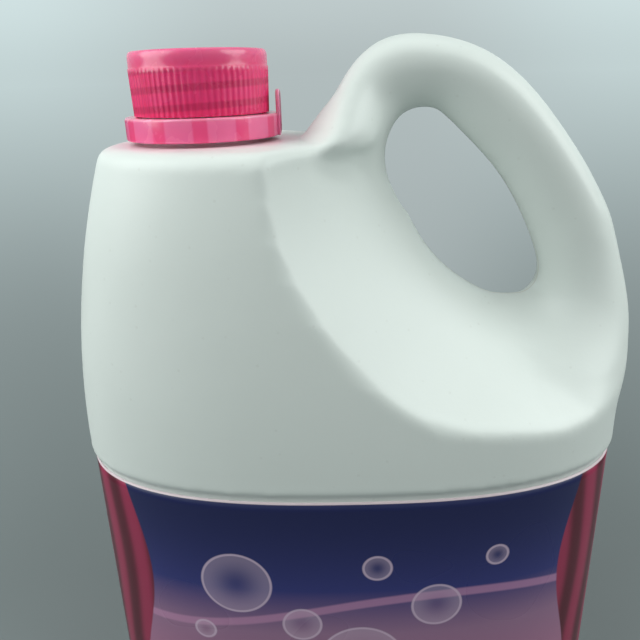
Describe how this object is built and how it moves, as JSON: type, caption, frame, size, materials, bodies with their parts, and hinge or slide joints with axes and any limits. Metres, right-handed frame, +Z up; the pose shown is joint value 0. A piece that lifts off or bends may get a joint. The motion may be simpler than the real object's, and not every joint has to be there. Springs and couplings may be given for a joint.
{
  "type": "laundry detergent bottle",
  "caption": "Handled plastic detergent jug with an oval body, a pinched finger hole, a wrap label in a recessed panel and a tamper-evident screw cap that unscrews.",
  "frame": {"origin": "on the floor under the middle of the jug's base", "axes": "+Z up, +X from the neck's side towards the handle, -Y out of the broad front that carries the label"},
  "size_m": [0.2102, 0.113, 0.2744],
  "materials": {
    "jug_plastic": "satin white polyethylene with a very fine pebble",
    "label_film": "glossy printed film",
    "band_plastic": "glossy translucent pink",
    "cap_plastic": "glossy translucent pink",
    "liner_foam": "soft white foam"
  },
  "bodies": {
    "jug": {"bottle": "jug_plastic", "label": "label_film", "tear_band": "band_plastic"},
    "liner_carrier": {"seal_liner": "liner_foam"},
    "screw_cap": {"cap": "cap_plastic"}
  },
  "joints": [
    {"name": "cap_lift", "type": "slide", "parent": "jug", "child": "liner_carrier", "axis": [0, 0, 1], "range_m": [0, 0.0091]},
    {"name": "cap_turn", "type": "hinge", "parent": "liner_carrier", "child": "screw_cap", "pos_m": [-0.0502, 0, 0.26], "axis": [0, 0, 1], "range_deg": [0, 540]}
  ],
  "couplings": [
    {"joint": "cap_lift", "follows": "cap_turn", "m_per_rad": 0.00095493}
  ]
}
